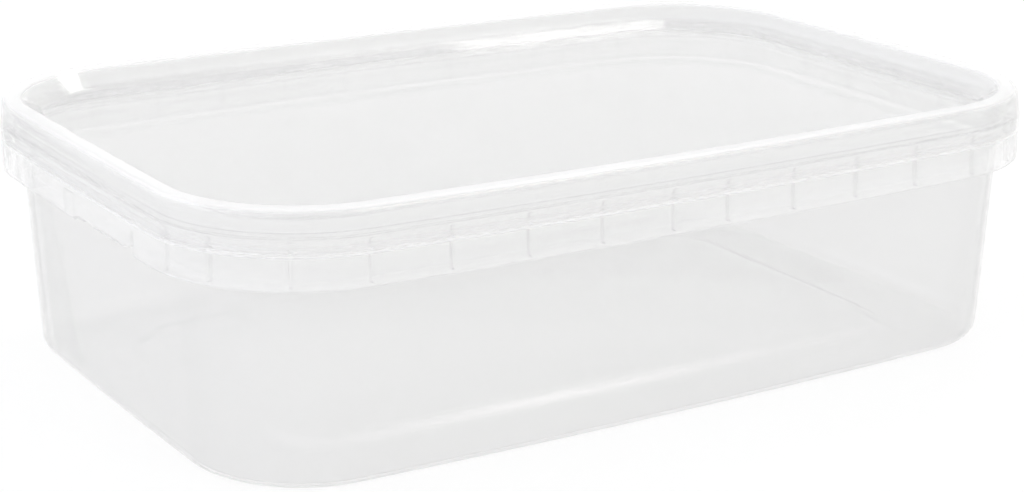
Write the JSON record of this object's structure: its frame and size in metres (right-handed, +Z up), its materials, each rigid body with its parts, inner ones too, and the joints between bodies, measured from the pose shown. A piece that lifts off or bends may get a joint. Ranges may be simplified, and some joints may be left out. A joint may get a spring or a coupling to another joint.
{
  "type": "lidded deli container",
  "caption": "Clear rectangular deli tub with rounded corners, a ribbed tamper-evident band with a tear tab, and a clip-on lid.",
  "frame": {"origin": "centre of the footprint, on the surface that the container stands on", "axes": "+X along the container's length, away from the end with the tear tab; +Y across its width; +Z up"},
  "size_m": [0.1876, 0.127, 0.0513],
  "materials": {
    "tub_plastic": "clear polypropylene, glossy, very slightly milky",
    "lid_plastic": "clear polypropylene, glossy, very slightly milky"
  },
  "bodies": {
    "root": {"tub": "tub_plastic", "lid": "lid_plastic"}
  },
  "joints": []
}
